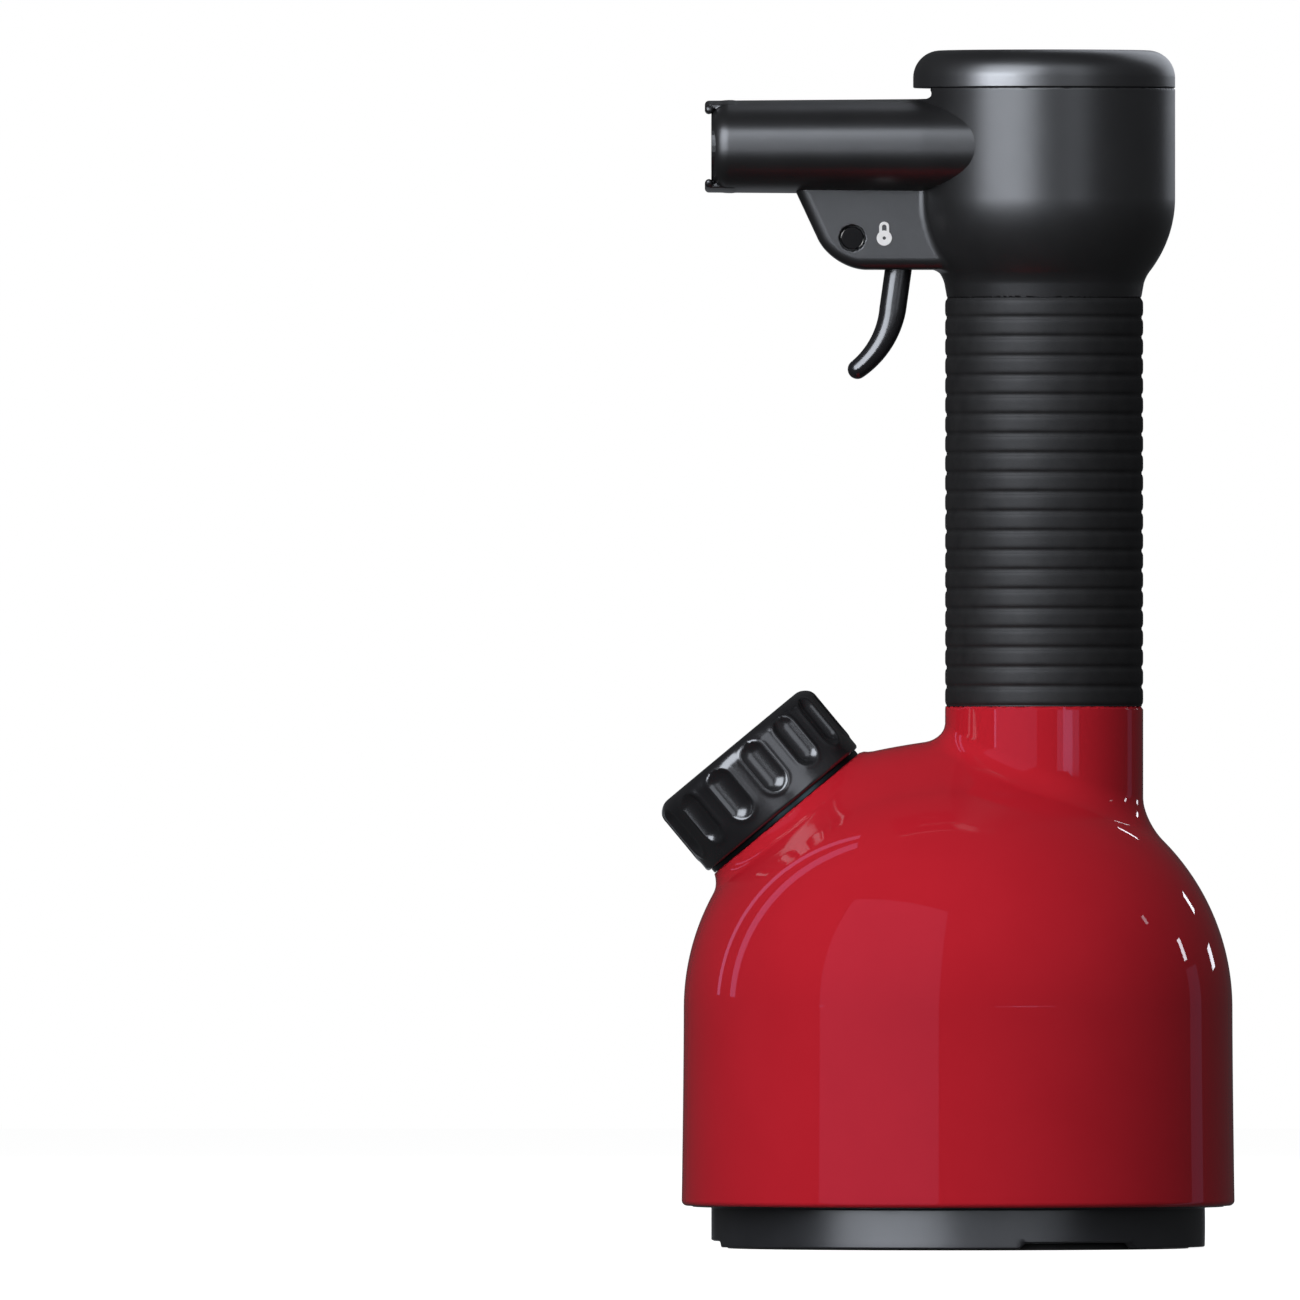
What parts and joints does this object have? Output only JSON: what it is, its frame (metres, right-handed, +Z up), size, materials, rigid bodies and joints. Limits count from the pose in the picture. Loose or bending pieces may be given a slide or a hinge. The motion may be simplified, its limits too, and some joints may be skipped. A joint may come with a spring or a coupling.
{
  "type": "handheld garment steamer",
  "caption": "Hand-held steamer with a domed boiler body, tilted screw filler cap, ribbed upright grip, and a head with an oval nozzle and trigger.",
  "frame": {"origin": "centre of the flat base pad's underside, on the body's axis", "axes": "+Z up, along the body's and the handle's axes; -X is the way the steam leaves the nozzle; +Y is the right-hand side of whoever holds it"},
  "size_m": [0.1577, 0.1524, 0.33],
  "materials": {
    "red_shell": "high gloss",
    "black_gloss": "gloss",
    "black_satin": "satin",
    "grip_rubber": "semi-matte, ribbed",
    "base_plastic": "satin",
    "foot_pad": "matte",
    "steel": "zinc plated",
    "brass": "machined",
    "boiler_metal": "cast",
    "filler_trim": "bright",
    "element_metal": "dark",
    "silicone": "matte",
    "insulation": "felted",
    "circuit_board": "solder mask",
    "board_parts": "moulded",
    "leads": "smooth",
    "lens": "clear",
    "white_mark": "printed"
  },
  "bodies": {
    "steamer": {"body_shell": "red_shell", "base_tray": "base_plastic", "base_pad": "foot_pad", "base_screws": "steel", "cord_gland": "black_satin", "power_button_spring": "steel", "power_switch": "board_parts", "indicator_lens": "lens", "control_board": "circuit_board", "board_screws": "steel", "board_components": "board_parts", "internal_leads": "leads", "heat_shield": "steel", "boiler_posts": "steel", "boiler_lower": "boiler_metal", "boiler_upper": "boiler_metal", "boiler_seal": "silicone", "flange_bolts": "steel", "heating_element": "element_metal", "thermostat": "steel", "thermal_fuse": "steel", "insulation_jacket": "insulation", "filler_neck": "brass", "filler_nut": "brass", "filler_ring": "filler_trim", "steam_pipe": "steel", "pipe_nuts": "brass", "handle_core": "black_satin", "handle_nut": "black_satin", "grip_sleeve": "grip_rubber", "head_left_half": "black_satin", "head_right_half": "black_satin", "head_screws": "steel", "head_lid": "black_satin", "nozzle_plate": "black_satin", "nozzle_seal": "silicone", "steam_manifold": "steel", "outlet_pipe": "steel", "valve_body": "brass", "valve_spring": "steel", "valve_plug": "brass", "stem_seal": "silicone", "trigger_pin": "steel", "lock_mark": "white_mark"},
    "cap": {"cap_knob": "black_gloss", "cap_insert": "brass", "relief_spring": "steel", "relief_adjuster": "brass"},
    "cap_carrier": {"cap_seal": "silicone"},
    "relief_valve": {"relief_poppet": "brass"},
    "trigger": {"trigger": "black_gloss"},
    "plunger": {"valve_plunger": "steel"},
    "lock_button": {"lock_button": "black_gloss"},
    "power_button": {"power_button": "base_plastic"}
  },
  "joints": [
    {"name": "trigger_pull", "type": "hinge", "parent": "steamer", "child": "trigger", "pos_m": [-0.015, 0, 0.284], "axis": [0, -1, 0], "range_deg": [0, 14], "stiffness_Nm_per_rad": 0.3, "springref_deg": -11.46},
    {"name": "valve_push", "type": "slide", "parent": "steamer", "child": "plunger", "axis": [1, 0, 0], "range_m": [0, 0.0016], "deforming": ["valve_spring"]},
    {"name": "lock_slide", "type": "slide", "parent": "steamer", "child": "lock_button", "axis": [0, -1, 0], "range_m": [0, 0.003]},
    {"name": "cap_lift", "type": "slide", "parent": "steamer", "child": "cap_carrier", "axis": [-0.6388, 0, 0.7694], "range_m": [0, 0.01201]},
    {"name": "cap_turn", "type": "hinge", "parent": "cap_carrier", "child": "cap", "pos_m": [-0.0481, 0, 0.1207], "axis": [-0.6388, 0, 0.7694], "range_deg": [0, 1080]},
    {"name": "relief_lift", "type": "slide", "parent": "cap", "child": "relief_valve", "axis": [-0.6388, 0, 0.7694], "range_m": [0, 0.001], "stiffness_N_per_m": 2000, "springref_m": -0.005, "deforming": ["relief_spring"]},
    {"name": "power_press", "type": "slide", "parent": "steamer", "child": "power_button", "axis": [-0.866, -0.5, 0], "range_m": [0, 0.002], "stiffness_N_per_m": 300, "springref_m": -0.003, "deforming": ["power_button_spring"]}
  ],
  "couplings": [
    {"joint": "valve_push", "follows": "trigger_pull", "m_per_rad": 0.0065},
    {"joint": "cap_lift", "follows": "cap_turn", "m_per_rad": 0.00063662}
  ]
}
